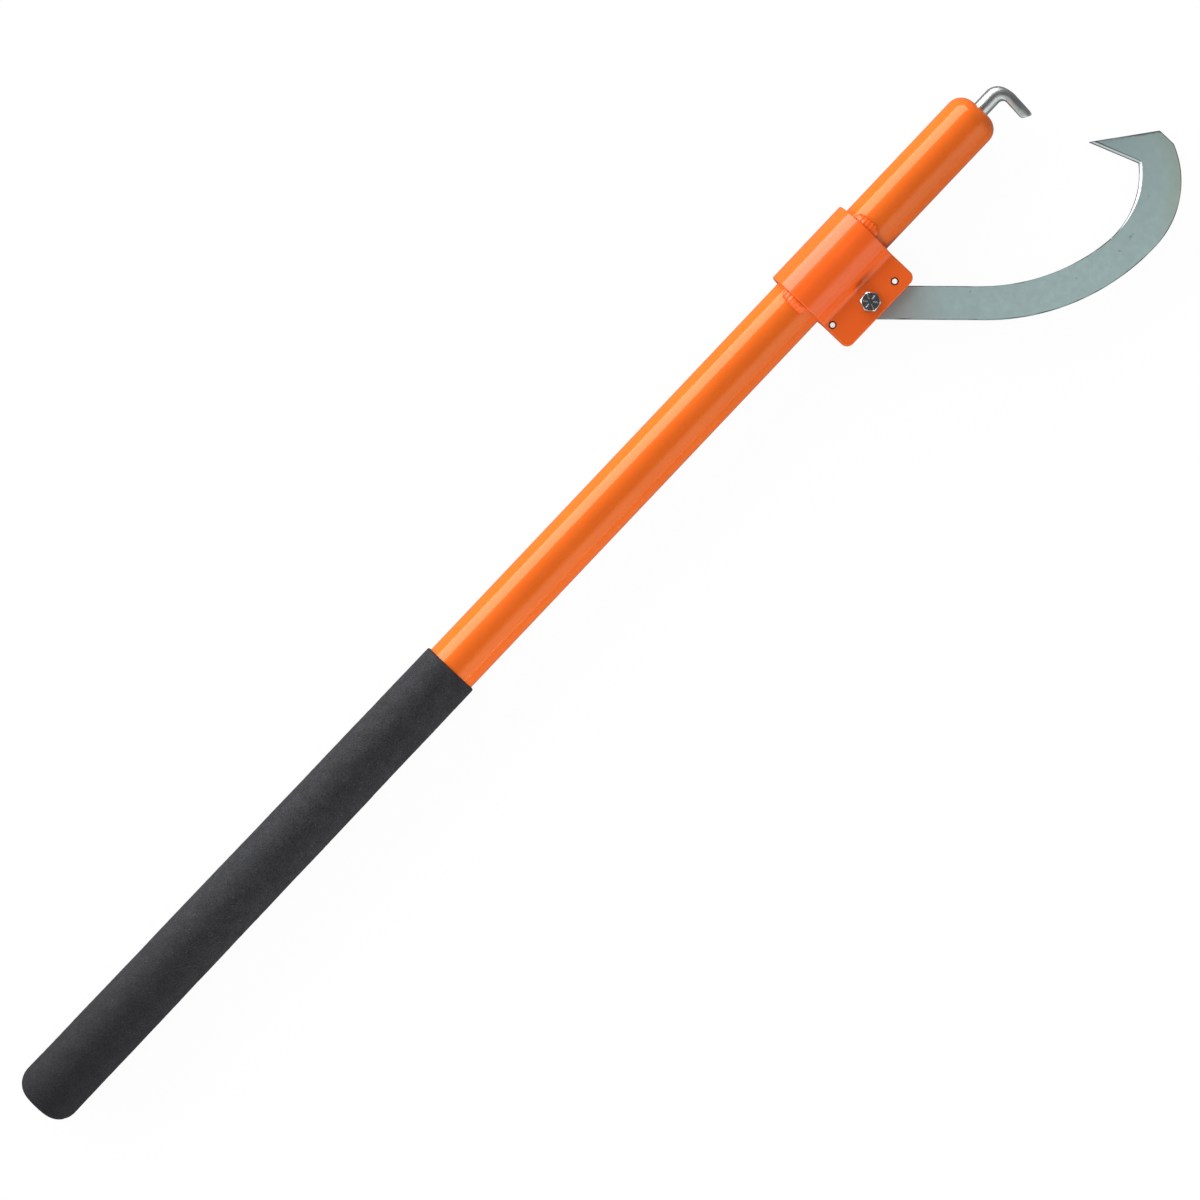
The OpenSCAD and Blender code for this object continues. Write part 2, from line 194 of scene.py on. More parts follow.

# Places where the hook's plate changes colour, in the part's frame: from, to
# Painted shade with a painted warm reflection of the orange ear, on the arm by the bracket: from, to
ARM_EAR_SHADE = (866 * MM, 908 * MM)
BOW_CENTRE = (961.24 * MM, -87.11 * MM, 0)
BOW_OUTER = (53 * MM, 63 * MM)
BOW_WARM = (965 * MM, 992 * MM)
# Painted shade on the beak: where it grows along and across the hook
BEAK_SHADE_ALONG = (920 * MM, 975 * MM)
BEAK_SHADE_ACROSS = (-160 * MM, -85 * MM)
BACK_NORMAL = (0.6074, 0.7944, 0)
BACK_OFF = 541.22 * MM
# Painted shade along the beak's back: where it runs, how ragged its inner edge is, where it fades and
# where it is darkest
BACK_SHADE_ALONG = (990 * MM, 1008 * MM)
BACK_SHADE_RAGGED = (BACK_OFF - 3.0 * MM, BACK_OFF - 1.0 * MM)
BACK_SHADE_FADE = (BACK_OFF - 4.0 * MM, BACK_OFF - 1.5 * MM)
BACK_SHADE_DEEP = BACK_OFF - 0.6 * MM

# Toe pick: a round bar, bent over about a line along Z and forged to a ridged leg
TOE_START = 929.7 * MM
TOE_R = 6 * MM
TOE_CHAMFER = 1 * MM
TOE_BEND_X = 959.2 * MM
TOE_BEND_R = 10 * MM
TOE_BEND_STEPS = 18
TOE_STEPS = 72
TOE_LEG_HALF = 3.8 * MM
TOE_LEG_STEPS = 24
TOE_RIDGE = 5.2 * MM
TOE_RIDGE_ROUND = 0.12
TOE_SHOULDER = 3.7 * MM
TOE_CORNER = 14
TOE_REACH = 28.7 * MM
TOE_LEAN = 1.3 * MM
TOE_SLANT = 3.9 * MM
TOE_TIP = 4.5 * MM
TOE_NIB = 0.62
TOE_NIB_OUT = TOE_LEG_HALF / 4
TOE_TAPER = 9 * MM
TOE_THINNED = 0.2
TOE_TIP_THINNED = 0.3

# Bolt head
HEAD_TOP = 14.7 * MM
HEAD_TURN = radians(7)
HEAD_EDGE = 0.25 * MM
MARKS = 6
MARK_FROM = 2.0 * MM
MARK_TO = 5.2 * MM
MARK_W = 0.85 * MM
MARK_H = 0.5 * MM
MARK_EDGE = 0.25 * MM

# Colours; a mottled finish has a light and a dark one
TUBE_ORANGE = ((0.64, 0.1135, 0.0125), (0.62, 0.1075, 0.0115))
TUBE_GLOSS = (1.0, 0.96, 0.68)
BRACKET_ORANGE = ((0.73, 0.108, 0.013), (0.70, 0.101, 0.012))
BRACKET_GLOSS = (1.0, 1.0, 1.0)
HOOK_PLATE = ((0.50, 0.66, 0.655), (0.45, 0.595, 0.59))
# Painted shade and painted reflection of the orange ear, on the arm by the bracket
HOOK_EAR_SHADE = (0.42, 0.40, 0.385)
HOOK_WARM = (0.455, 0.555, 0.46)
# Painted shade on the beak
HOOK_BEAK_SHADE = (0.295, 0.385, 0.38)
# Painted shade along the beak's back
HOOK_BACK_SHADE = (0.06, 0.063, 0.07)
HOOK_GRAIN = (0.33, 0.43, 0.425)
HOOK_STAIN = (0.27, 0.33, 0.33)
HOOK_CUT = (0.32, 0.41, 0.41)
HOOK_RUST = (0.075, 0.06, 0.05)
# Painted shade on the hook's rims
HOOK_RIM_SHADE = (0.06, 0.06, 0.058)
# Bright ground steel, lightened to near white as a painted reflection of the white surroundings
HOOK_GROUND_AND_REFLECTION = (0.88, 0.92, 0.92)
FASTENER_PLATE = ((0.80, 0.83, 0.85), (0.66, 0.69, 0.71))
FASTENER_PITS = (0.33, 0.34, 0.34)
TOE_PLATE = ((0.84, 0.89, 0.87), (0.68, 0.74, 0.72))
TOE_PITS = (0.36, 0.35, 0.34)
# Pale zinc, lightened to near white as a painted reflection of the white surroundings
PIN_PLATE_AND_REFLECTION = ((0.95, 0.95, 0.94), (0.88, 0.89, 0.89))
# Painted shade in the grooves round the pins' necks
PIN_GROOVE_SHADE = (0.05, 0.025, 0.018)
FOAM_SKIN = ((0.030, 0.0305, 0.0335), (0.0225, 0.023, 0.025))
FOAM_PITS = (0.012, 0.012, 0.013)
FOAM_DUST = (0.055, 0.056, 0.06)
# Painted shade towards the grip's butt
FOAM_BUTT_SHADE = (0.011, 0.011, 0.012)
NYLON_WHITE = ((0.80, 0.82, 0.84), (0.74, 0.76, 0.78))
PLUG_BLACK = ((0.03, 0.03, 0.031), (0.022, 0.022, 0.023))
FLOOR_PAPER = (0.86, 0.86, 0.86)

# Patterns
SPECK_SOFT = 0.05
# Where the painted shade on the grip fades out, from the butt
GRIP_BUTT_SHADE = (20 * MM, 190 * MM)

# Camera: straight above the part, turned so that the handle rises to the right
VIEW_CENTRE = Vector((520.9 * MM, -42.1 * MM, 0))
VIEW_HEIGHT = 5.0
VIEW_WIDTH = 828 * MM
VIEW_TURN = radians(-46.55)
VIEW_END = 50.0
SENSOR_W = 36.0

# Floor and studio levels, where 1 is white
FLOOR_HALF = 8.0
FLOOR_GAP = 0.2 * MM
FLOOR_SEEN = 0.95
FLOOR_MIRRORED = 0.17
WALL_LEVEL = 0.7
NOSE_WALL_LEVEL = 0.15
CEILING_LEVEL = 0.06
ROOM_FILL = 0.3

# Studio walls by direction: where they change towards the nose, and how high their top and the
# ceiling are before and after that
WALL_CHANGE = (0.2, 0.8)
TOP_CHANGE = (0.1, 0.5)
WALL_TOP = (0.74, 0.54)
CEILING = (0.86, 0.68)

# Lamps: middle along the handle, length and distance; and the side of the handle they are on
LONG_PANEL = (VIEW_CENTRE.x, 7.0, 3.0)
GRIP_FILL = (250 * MM, 0.6, 1.0)
PLAIN_SIDE = 1
HOOK_SIDE = -1


# Shader node helpers and groups

def new_group(name, inputs, outputs):
    """Empty node group with float or colour sockets, and its input and output nodes."""
    group = bpy.data.node_groups.new(name, "ShaderNodeTree")
    for socket, kind, value in inputs:
        group.interface.new_socket(socket, in_out="INPUT", socket_type=kind).default_value = value
    for socket, kind in outputs:
        group.interface.new_socket(socket, in_out="OUTPUT", socket_type=kind)
    return group, group.nodes.new("NodeGroupInput"), group.nodes.new("NodeGroupOutput")


def feed(tree, value, socket):
    """Links another node's socket to a socket, or sets a plain value on it."""
    if isinstance(value, bpy.types.NodeSocket):
        tree.links.new(value, socket)
    else:
        socket.default_value = value


def object_noise(tree, scale, detail, roughness=0.5):
    """Noise on object coordinates; scale is a number or a socket that feeds it."""
    place = tree.nodes.new("ShaderNodeTexCoord")
    texture = tree.nodes.new("ShaderNodeTexNoise")
    texture.inputs["Detail"].default_value = detail
    texture.inputs["Roughness"].default_value = roughness
    tree.links.new(place.outputs["Object"], texture.inputs["Vector"])
    feed(tree, scale, texture.inputs["Scale"])
    return texture.outputs["Fac"]


def object_coordinate(tree, axis):
    """One of the object coordinates, in metres."""
    place = tree.nodes.new("ShaderNodeTexCoord")
    split = tree.nodes.new("ShaderNodeSeparateXYZ")
    tree.links.new(place.outputs["Object"], split.inputs["Vector"])
    return split.outputs[axis]


def object_measure(tree, operation, vector):
    """Distance of the object coordinates from a point, or their reach along a direction."""
    place = tree.nodes.new("ShaderNodeTexCoord")
    node = tree.nodes.new("ShaderNodeVectorMath")
    node.operation = operation
    tree.links.new(place.outputs["Object"], node.inputs[0])
    node.inputs[1].default_value = vector
    return node.outputs["Value"]


def combine(tree, operation, first, second):
    """Result of a sum on two values; each may be a number or a socket."""
    node = tree.nodes.new("ShaderNodeMath")
    node.operation = operation
    feed(tree, first, node.inputs[0])
    feed(tree, second, node.inputs[1])
    return node.outputs["Value"]


def map_range(tree, value, low, high, to_low=0.0, to_high=1.0):
    """Clamped linear map of a value; the ends may be numbers or sockets."""
    node = tree.nodes.new("ShaderNodeMapRange")
    tree.links.new(value, node.inputs["Value"])
    ends = {"From Min": low, "From Max": high, "To Min": to_low, "To Max": to_high}
    for socket, end in ends.items():
        feed(tree, end, node.inputs[socket])
    return node.outputs["Result"]


def surface_mask(tree, name):
    """Value that a piece's own faces carry under a name."""
    node = tree.nodes.new("ShaderNodeAttribute")
    node.attribute_name = name
    return node.outputs["Fac"]


def mix_colour(tree, factor, first, second):
    """Mix of two colours; each may be a tuple or a socket."""
    node = tree.nodes.new("ShaderNodeMix")
    node.data_type = "RGBA"
    tree.links.new(factor, node.inputs["Factor"])
    for name, colour in (("A", first), ("B", second)):
        socket = next(s for s in node.inputs if s.name == name and s.type == "RGBA")
        feed(tree, (*colour, 1.0) if isinstance(colour, tuple) else colour, socket)
    return next(s for s in node.outputs if s.type == "RGBA")


def make_mottle():
    """Two colours in soft cloudy patches, for finishes that aren't quite even."""
    group, given, out = new_group(
        "Mottle",
        [("Light", "NodeSocketColor", (1, 1, 1, 1)), ("Dark", "NodeSocketColor", (0, 0, 0, 1)),
         ("Scale", "NodeSocketFloat", 40.0)],
        [("Color", "NodeSocketColor"), ("Patch", "NodeSocketFloat")])
    cloud = object_noise(group, given.outputs["Scale"], detail=5.0, roughness=0.6)
    patch = map_range(group, cloud, 0.36, 0.64)
    colour = mix_colour(group, patch, given.outputs["Dark"], given.outputs["Light"])
    group.links.new(colour, out.inputs["Color"])
    group.links.new(patch, out.inputs["Patch"])
    return group


def make_specks():
    """Sparse small dots, as dust or pits; the threshold sets how many there are."""
    group, given, out = new_group(
        "Specks",
        [("Scale", "NodeSocketFloat", 300.0), ("Threshold", "NodeSocketFloat", 0.66)],
        [("Mask", "NodeSocketFloat")])
    grain = object_noise(group, given.outputs["Scale"], detail=2.0)
    full = combine(group, "ADD", given.outputs["Threshold"], SPECK_SOFT)
    mask = map_range(group, grain, given.outputs["Threshold"], full)
    group.links.new(mask, out.inputs["Mask"])
    return group


MOTTLE = make_mottle()
SPECKS = make_specks()


# Materials

def new_material(name, **sockets):
    """Material with one Principled BSDF whose plain values are set on its own sockets."""
    material = bpy.data.materials.new(name)
    material.use_nodes = True
    shader = material.node_tree.nodes["Principled BSDF"]
    for socket, value in sockets.items():
        shader.inputs[socket.replace("_", " ")].default_value = value
    return material, material.node_tree, shader


def mottled(tree, light, dark, scale):
    """Places the mottle group and returns its node."""
    node = tree.nodes.new("ShaderNodeGroup")
    node.node_tree = MOTTLE
    node.inputs["Light"].default_value = (*light, 1.0)
    node.inputs["Dark"].default_value = (*dark, 1.0)
    node.inputs["Scale"].default_value = scale
    return node


def specked(tree, scale, threshold):
    """Places the speck group and returns its mask."""
    node = tree.nodes.new("ShaderNodeGroup")
    node.node_tree = SPECKS
    node.inputs["Scale"].default_value = scale
    node.inputs["Threshold"].default_value = threshold
    return node.outputs["Mask"]


def patchy_gloss(tree, shader, finish, dull, bright):
    """Roughness that follows the patches of a mottled finish."""
    rough = map_range(tree, finish.outputs["Patch"], 0.0, 1.0, dull, bright)
    tree.links.new(rough, shader.inputs["Roughness"])


def bump(tree, shader, height, distance):
    """Feeds a height to the shader's normal; distance is the relief in metres."""
    node = tree.nodes.new("ShaderNodeBump")
    node.inputs["Strength"].default_value = 1.0
    node.inputs["Distance"].default_value = distance
    tree.links.new(height, node.inputs["Height"])
    tree.links.new(node.outputs["Normal"], shader.inputs["Normal"])


def powder_coat(name, tones, gloss):
    """Glossy orange powder coat with a faint orange peel."""
    material, tree, shader = new_material(name, IOR=1.57, Specular_Tint=(*gloss, 1.0))
    paint = mottled(tree, *tones, scale=28.0)
    tree.links.new(paint.outputs["Color"], shader.inputs["Base Color"])
    rough = map_range(tree, object_noise(tree, scale=600.0, detail=2.0), 0.3, 0.7, 0.075, 0.095)
    tree.links.new(rough, shader.inputs["Roughness"])
    bump(tree, shader, object_noise(tree, scale=420.0, detail=1.0), distance=0.0012 * MM)
    return material


def hook_flats(tree, colour):
    """Adds painted shade and a painted warm reflection of the ear at the end of the arm, the warm
    outside of the bow and painted shade on the beak.
    """
    far = object_coordinate(tree, "X")
    inward = object_coordinate(tree, "Y")
    along_arm = combine(tree, "SUBTRACT", far, inward)
    # Painted shade, warmed as a painted reflection of the orange ear, fades out along the arm from the
    # bracket
    ear_shade_share = map_range(tree, along_arm, *ARM_EAR_SHADE, 0.8, 0.0)
    ear_shaded = mix_colour(tree, ear_shade_share, colour, HOOK_EAR_SHADE)
    off_centre = object_measure(tree, "DISTANCE", BOW_CENTRE)
    outer_band = map_range(tree, off_centre, *BOW_OUTER, 0.0, 0.9)
    warm = map_range(tree, far, *BOW_WARM, 0.0, outer_band)
    tinted = mix_colour(tree, warm, ear_shaded, HOOK_WARM)
    # Painted shade that darkens the beak
    near_tip = map_range(tree, inward, *BEAK_SHADE_ACROSS, 0.0, 0.6)
    beak_shade_share = map_range(tree, far, *BEAK_SHADE_ALONG, 0.0, near_tip)
    return mix_colour(tree, beak_shade_share, tinted, HOOK_BEAK_SHADE)


def hook_back_shade(tree, colour):
    """Adds a dark, ragged band of painted shade along the beak's back."""
    to_back = object_measure(tree, "DOT_PRODUCT", BACK_NORMAL)
    ragged = map_range(tree, object_noise(tree, scale=240.0, detail=2.0), 0.3, 0.7, *BACK_SHADE_RAGGED)
    deep = map_range(tree, to_back, ragged, BACK_SHADE_DEEP, 0.0, 0.85)
    back_shade_share = map_range(tree, object_coordinate(tree, "X"), *BACK_SHADE_ALONG, 0.15, deep)
    # Painted shade along the beak's back
    on_back_shade = map_range(tree, to_back, *BACK_SHADE_FADE, 0.0, back_shade_share)
    return mix_colour(tree, on_back_shade, colour, HOOK_BACK_SHADE)


def hook_edges(tree, colour):
    """Adds the cut edges, the painted shade on the rims and the ground edges that the hook's faces are
    marked with.
    """
    rusted = map_range(tree, object_noise(tree, scale=60.0, detail=4.0), 0.40, 0.58)
    cut_edge = mix_colour(tree, rusted, HOOK_CUT, HOOK_RUST)
    rimmed = mix_colour(tree, surface_mask(tree, "rim"), colour, cut_edge)
    # Painted shade along the rims
    darkened = mix_colour(tree, surface_mask(tree, "rim_shade"), rimmed, HOOK_RIM_SHADE)
    # The ground strip's near white is partly a painted reflection
    return mix_colour(tree, surface_mask(tree, "ground"), darkened, HOOK_GROUND_AND_REFLECTION)


def hook_zinc():
    """Satin zinc plate with a cloudy blue-grey bloom and small stains."""
    material, tree, shader = new_material("Satin zinc", Metallic=0.55)
    plate = mottled(tree, *HOOK_PLATE, scale=36.0)
    flats = hook_back_shade(tree, hook_flats(tree, plate.outputs["Color"]))
    cloud = object_noise(tree, scale=190.0, detail=4.0, roughness=0.65)
    grained = mix_colour(tree, map_range(tree, cloud, 0.38, 0.66, 0.0, 0.3), flats, HOOK_GRAIN)
    stained = mix_colour(tree, specked(tree, scale=150.0, threshold=0.72), grained, HOOK_STAIN)
    tree.links.new(hook_edges(tree, stained), shader.inputs["Base Color"])
    patchy_gloss(tree, shader, plate, 0.42, 0.34)
    bump(tree, shader, object_noise(tree, scale=900.0, detail=3.0), distance=0.012 * MM)
    return material


def bright_zinc():
    """Bright zinc plate on the fasteners."""
    material, tree, shader = new_material("Bright zinc", Metallic=1.0)
    plate = mottled(tree, *FASTENER_PLATE, scale=110.0)
    pits = specked(tree, scale=700.0, threshold=0.68)
    colour = mix_colour(tree, pits, plate.outputs["Color"], FASTENER_PITS)
    tree.links.new(colour, shader.inputs["Base Color"])
    patchy_gloss(tree, shader, plate, 0.22, 0.12)
    bump(tree, shader, object_noise(tree, scale=1500.0, detail=2.0), distance=0.01 * MM)
    return material


def toe_zinc():
    """Worn zinc plate on the toe pick, rougher than on the fasteners."""
    material, tree, shader = new_material("Worn zinc", Metallic=1.0)
    plate = mottled(tree, *TOE_PLATE, scale=90.0)
    pits = specked(tree, scale=420.0, threshold=0.66)
    colour = mix_colour(tree, pits, plate.outputs["Color"], TOE_PITS)
    tree.links.new(colour, shader.inputs["Base Color"])
    patchy_gloss(tree, shader, plate, 0.42, 0.33)
    bump(tree, shader, object_noise(tree, scale=700.0, detail=3.0), distance=0.05 * MM)
    return material


def pin_zinc():
    """Pale satin zinc on the stop pins, lightened to near white as a painted reflection, with painted
    shade in the grooves at their ends.
    """
    material, tree, shader = new_material("Pale zinc", Metallic=0.0)
    plate = mottled(tree, *PIN_PLATE_AND_REFLECTION, scale=260.0)
    colour = mix_colour(tree, surface_mask(tree, "groove_shade"), plate.outputs["Color"], PIN_GROOVE_SHADE)
    tree.links.new(colour, shader.inputs["Base Color"])
    patchy_gloss(tree, shader, plate, 0.5, 0.38)
    bump(tree, shader, object_noise(tree, scale=1500.0, detail=2.0), distance=0.01 * MM)
    return material


def grip_foam():
    """Matte charcoal foam with fine open cells, with painted shade darkening it towards the butt."""
    material, tree, shader = new_material("Charcoal foam", Specular_IOR_Level=0.15)
    skin = mottled(tree, *FOAM_SKIN, scale=120.0)
    cells = object_noise(tree, scale=1100.0, detail=3.0, roughness=0.6)
    pits = map_range(tree, cells, 0.34, 0.50, 1.0, 0.0)
    pitted = mix_colour(tree, pits, skin.outputs["Color"], FOAM_PITS)
    dusted = mix_colour(tree, specked(tree, scale=800.0, threshold=0.66), pitted, FOAM_DUST)
    # Painted shade that darkens the foam towards the butt
    butt_shade = map_range(tree, object_coordinate(tree, "X"), *GRIP_BUTT_SHADE, 0.5, 0.0)
    colour = mix_colour(tree, butt_shade, dusted, FOAM_BUTT_SHADE)
    tree.links.new(colour, shader.inputs["Base Color"])
    rough = map_range(tree, cells, 0.3, 0.7, 0.95, 0.72)
    tree.links.new(rough, shader.inputs["Roughness"])
    bump(tree, shader, cells, distance=0.3 * MM)
    return material


def moulded_plastic(name, tones, roughness):
    """Plain moulded plastic with a fine satin texture."""
    material, tree, shader = new_material(name, Roughness=roughness)
    skin = mottled(tree, *tones, scale=90.0)
    tree.links.new(skin.outputs["Color"], shader.inputs["Base Color"])
    bump(tree, shader, object_noise(tree, scale=1400.0, detail=2.0), distance=0.03 * MM)
    return material


PAINT = powder_coat("Orange powder coat", TUBE_ORANGE, TUBE_GLOSS)
BRACKET_PAINT = powder_coat("Deep orange powder coat", BRACKET_ORANGE, BRACKET_GLOSS)
HOOK_ZINC = hook_zinc()
BRIGHT_ZINC = bright_zinc()
TOE_ZINC = toe_zinc()
PIN_ZINC = pin_zinc()
FOAM = grip_foam()
NYLON = moulded_plastic("Nylon", NYLON_WHITE, roughness=0.45)
BLACK_PLASTIC = moulded_plastic("Black plastic", PLUG_BLACK, roughness=0.5)


# Mesh helpers

def add_piece(name, bm, material, slot, body, *nodes):
    """Turns a bmesh into a piece that rides on a body and stands for CAD nodes."""
    mesh = bpy.data.meshes.new(name)
    bm.to_mesh(mesh)
    bm.free()
    mesh.shade_smooth()
    mesh.set_sharp_from_angle(angle=SHARP)
    mesh.materials.append(material)
    piece = bpy.data.objects.new(name, mesh)
    bpy.context.scene.collection.objects.link(piece)
    shading = piece.modifiers.new("Flat faces stay flat", "WEIGHTED_NORMAL")
    shading.keep_sharp = True
    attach(piece, body)
    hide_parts(*nodes)
    return piece


def close_up(bm):
    """Merges a shape's seams, clears what lies inside it and turns its faces outwards."""
    bmesh.ops.remove_doubles(bm, verts=bm.verts, dist=SAME_POINT)
    inner = [f for f in bm.faces if all(len(e.link_faces) > 2 for e in f.edges)]
    bmesh.ops.delete(bm, geom=inner, context="FACES_ONLY")
    bmesh.ops.delete(bm, geom=[e for e in bm.edges if e.is_wire], context="EDGES")
    bmesh.ops.recalc_face_normals(bm, faces=bm.faces)


def lathe_profile(corners):
    """Closed profile of (x, radius) corners; a round one adds its rounding and its steps."""
    bm = bmesh.new()
    points = [bm.verts.new((x, 0, r)) for x, r, *_ in corners]
    bm.faces.new(points)
    for point, (_, _, *rounding) in zip(points, corners):
        if rounding:
            radius, steps = rounding
            bmesh.ops.bevel(bm, geom=[point], offset=radius, offset_type="OFFSET",
                            affect="VERTICES", segments=steps, profile=0.5, material=-1)
    bm.faces.ensure_lookup_table()
    bmesh.ops.delete(bm, geom=list(bm.faces), context="FACES_ONLY")
    return bm


def turn_round_handle(bm, steps):
    """Spins a closed profile a full turn about the handle's axis."""
    bmesh.ops.spin(bm, geom=bm.verts[:] + bm.edges[:], cent=(0, 0, 0), axis=(1, 0, 0),
                   angle=2 * pi, steps=steps, use_merge=True)
    close_up(bm)


def merged_copy(node):
    """Copy of a CAD node with its triangles joined into whole faces."""
    bm = bmesh.new()
    bm.from_mesh(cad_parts[node].data)
    bmesh.ops.remove_doubles(bm, verts=bm.verts, dist=SAME_CAD_POINT)
    bmesh.ops.dissolve_limit(bm, angle_limit=FLAT, verts=bm.verts, edges=bm.edges)
    return bm


def sharp_edges(bm):
    """Edges at which two faces meet at a clear angle."""
    return [e for e in bm.edges if len(e.link_faces) == 2 and e.calc_face_angle() > SHARP]


def soften(bm, edges, width, segments=EDGE_STEPS):
    """Rounds edges over a width."""
    return bmesh.ops.bevel(bm, geom=edges, offset=width, offset_type="OFFSET", affect="EDGES",
                           segments=segments, profile=0.5, material=-1, clamp_overlap=False)


def softened_copy(node, width):
    """Copy of a CAD node with all its sharp edges rounded."""
    bm = merged_copy(node)
    soften(bm, sharp_edges(bm), width)
    return bm


def only(kind, geom):
    """The elements of one kind among what an operator made."""
    return [part for part in geom if isinstance(part, kind)]


# Pieces

def painted_handle():
    """Tube and domed nose under one coat of paint."""
    nose_in = NOSE_END - NOSE_WALL
    bm = lathe_profile([
        (TUBE_START, TUBE_R),
        (TUBE_START, TUBE_BORE_R),
        (nose_in, TUBE_BORE_R, NOSE_ROUND - NOSE_WALL, NOSE_STEPS // 2),
        (nose_in, TOE_HOLE_R),
        (NOSE_END, TOE_HOLE_R, TOE_HOLE_EDGE, FINE_EDGE_STEPS),
        (NOSE_END, TUBE_R, NOSE_ROUND, NOSE_STEPS)])
    turn_round_handle(bm, TUBE_STEPS)
    return add_piece("painted_handle", bm, PAINT, "orange_paint", "handle", "handle_tube", "nose_cap")


def foam_sleeve():
    """Foam grip: a tapered sleeve with a closed butt and a slightly uneven skin."""
    bm = lathe_profile([
        (0, 0),
        (0, GRIP_BUTT_R, GRIP_ROUND, GRIP_ROUND_STEPS),
        (GRIP_LEN, GRIP_MOUTH_R, GRIP_LIP, GRIP_LIP_STEPS),
        (GRIP_LEN, GRIP_BORE_R, GRIP_BORE_EDGE, EDGE_STEPS),
        (GRIP_END, GRIP_BORE_R),
        (GRIP_END, 0)])
    side = max(bm.edges, key=lambda e: min(v.co.z for v in e.verts) * e.calc_length())
    bmesh.ops.subdivide_edges(bm, edges=[side], cuts=round(side.calc_length() / GRIP_RING))
    turn_round_handle(bm, GRIP_STEPS)
    for vert in bm.verts:
        out = Vector((0, vert.co.y, vert.co.z))
        if out.length > GRIP_BORE_R + GRIP_LIP / 2:
            swell = noise.noise(vert.co / FOAM_SWELL_SIZE) * FOAM_SWELL
            cell = noise.noise(vert.co / FOAM_CELL_SIZE) * FOAM_CELL
            vert.co += out.normalized() * (swell + cell - FOAM_SWELL)
    piece = add_piece("foam_sleeve", bm, FOAM, "foam", "handle", "foam_grip")
    return piece


def draw_on(bm, end, step):
    """Extrudes a strip's end vertex by a step and returns the new end."""
    new_end = bmesh.ops.extrude_vert_indiv(bm, verts=[end])["verts"][0]
    bmesh.ops.translate(bm, verts=[new_end], vec=step)
    return new_end


def bend_on(bm, end, y, z, turn, steps):
    """Carries a strip's end vertex round a line along the handle and returns the new end."""
    made = bmesh.ops.spin(bm, geom=[end], cent=(0, y, z), axis=(1, 0, 0), angle=turn, steps=steps)
    return only(bmesh.types.BMVert, made["geom_last"])[0]


def drill(bm, holes):
    """Cuts round holes along Z, given as (place, radius), and returns the drilled bmesh."""
    drills = bmesh.new()
    for place, radius in holes:
        bmesh.ops.create_cone(drills, cap_ends=True, segments=HOLE_STEPS, radius1=radius,
                              radius2=radius, depth=DRILL_LEN, matrix=Matrix.Translation(place))
    blanks = []
    for name, shape in (("plate", bm), ("drills", drills)):
        mesh = bpy.data.meshes.new(name)
        shape.to_mesh(mesh)
        shape.free()
        blanks.append(bpy.data.objects.new(name, mesh))
        bpy.context.scene.collection.objects.link(blanks[-1])
    cut = blanks[0].modifiers.new("Drill", "BOOLEAN")
    cut.operation = "DIFFERENCE"
    cut.solver = "EXACT"
    cut.object = blanks[1]
    drilled = bmesh.new()
    drilled.from_object(blanks[0], bpy.context.evaluated_depsgraph_get())
    for blank in blanks:
        mesh = blank.data
        bpy.data.objects.remove(blank)
        bpy.data.meshes.remove(mesh)
    return drilled


def folded_bracket():
    """One plate folded round the tube, with drilled ears on both sides of the hook."""
    fold_turn = atan2(-FOLD_Y, FOLD_Z)
    bm = bmesh.new()
    end = bm.verts.new((BRACKET_START, -EAR_REACH, EAR_OUT))
    end = draw_on(bm, end, (0, FOLD_Y + EAR_REACH, 0))
    end = bend_on(bm, end, FOLD_Y, FOLD_Z, fold_turn, FOLD_STEPS)
    end = bend_on(bm, end, 0, 0, -pi - 2 * fold_turn, SLEEVE_STEPS)
    end = bend_on(bm, end, FOLD_Y, -FOLD_Z, fold_turn, FOLD_STEPS)
    draw_on(bm, end, (0, -EAR_REACH - FOLD_Y, 0))
    made = bmesh.ops.extrude_edge_only(bm, edges=bm.edges[:])["geom"]
    bmesh.ops.translate(bm, verts=only(bmesh.types.BMVert, made), vec=(BRACKET_LEN, 0, 0))
    ear_corners = [v for v in bm.verts if v.co.y < NEAR - EAR_REACH]
    bmesh.ops.bevel(bm, geom=ear_corners, offset=EAR_CORNER, offset_type="OFFSET",
                    affect="VERTICES", segments=EAR_CORNER_STEPS, profile=0.5, material=-1)
    bmesh.ops.recalc_face_normals(bm, faces=bm.faces)
    crown = max(bm.faces, key=lambda f: f.calc_center_median().z)
    if crown.normal.z < 0:
        bmesh.ops.reverse_faces(bm, faces=bm.faces)
    bmesh.ops.solidify(bm, geom=bm.faces[:], thickness=PLATE_T)
    bmesh.ops.recalc_face_normals(bm, faces=bm.faces)
    soften(bm, sharp_edges(bm), BRACKET_EDGE, FINE_EDGE_STEPS)
    pins = [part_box(node) for node in ("upper_stop_pin", "lower_stop_pin")]
    pin_holes = [((low + high) / 2, PIN_HOLE_R) for low, high in pins]
    bm = drill(bm, [(PIVOT, BOLT_HOLE_R), *pin_holes])
    return add_piece("folded_bracket", bm, BRACKET_PAINT, "orange_paint", "handle", "hook_bracket")


